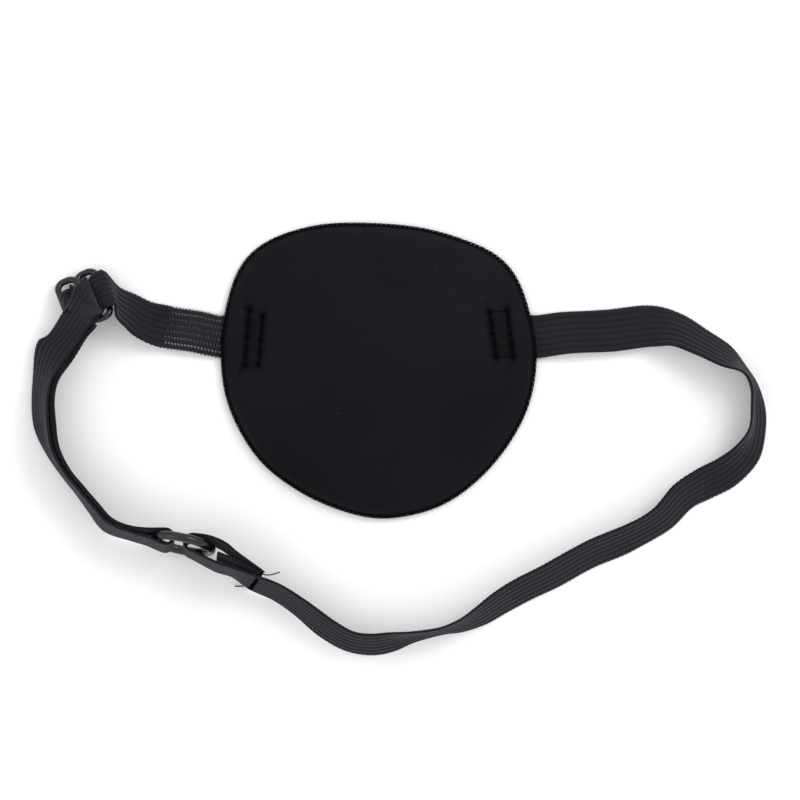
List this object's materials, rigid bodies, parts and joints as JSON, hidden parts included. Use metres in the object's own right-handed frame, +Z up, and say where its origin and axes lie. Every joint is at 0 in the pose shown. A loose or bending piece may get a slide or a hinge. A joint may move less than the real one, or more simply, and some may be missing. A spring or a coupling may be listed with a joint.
{
  "type": "eye patch",
  "caption": "Moulded oval eye patch pad with an adjustable elastic head strap, a figure-of-eight slider and a plain ring.",
  "frame": {"origin": "middle of the whole lay-out, on the table that it lies on", "axes": "+X to the right along the seam line, +Y towards the brow side of the pad, +Z up from the table, away from the face"},
  "size_m": [0.1955, 0.1156, 0.0177],
  "materials": {
    "cover_fabric": "fine black knit with a soft satin sheen",
    "foam": "black moulded foam",
    "lining_fabric": "soft brushed black knit",
    "edge_thread": "close black overlock thread",
    "sewing_thread": "black sewing thread",
    "elastic": "black ribbed braided elastic",
    "moulded_plastic": "glossy black moulded plastic"
  },
  "bodies": {
    "patch": {"outer_cover": "cover_fabric", "foam_core": "foam", "inner_lining": "lining_fabric", "edge_overlock": "edge_thread", "left_box_stitch": "sewing_thread", "right_box_stitch": "sewing_thread", "left_strap_tab": "elastic", "right_strap_tab": "elastic"},
    "strap": {"left_strap_short": "elastic", "left_strap_adjusting": "elastic", "right_strap": "elastic", "right_strap_loop": "elastic", "turned_under_end": "elastic", "ring_end_tack": "sewing_thread", "thread_tails": "sewing_thread"},
    "slider": {"strap_slider": "moulded_plastic", "slider_end_strap": "elastic", "slider_end_tack": "sewing_thread"},
    "ring": {"strap_ring": "moulded_plastic"}
  },
  "joints": [
    {"name": "strap_swing", "type": "hinge", "parent": "patch", "child": "strap", "pos_m": [0, 0.0274, 0.0006], "axis": [1, 0, 0], "range_deg": [-120, 100]},
    {"name": "slider_travel", "type": "slide", "parent": "strap", "child": "slider", "axis": [-0.45, -0.893, 0], "range_m": [-0.006, 0.009], "deforming": ["left_strap_adjusting"]},
    {"name": "ring_turn", "type": "hinge", "parent": "strap", "child": "ring", "pos_m": [-0.0571, -0.0276, 0.00887], "axis": [-0.1979, -0.9499, 0.2419], "continuous": true}
  ]
}
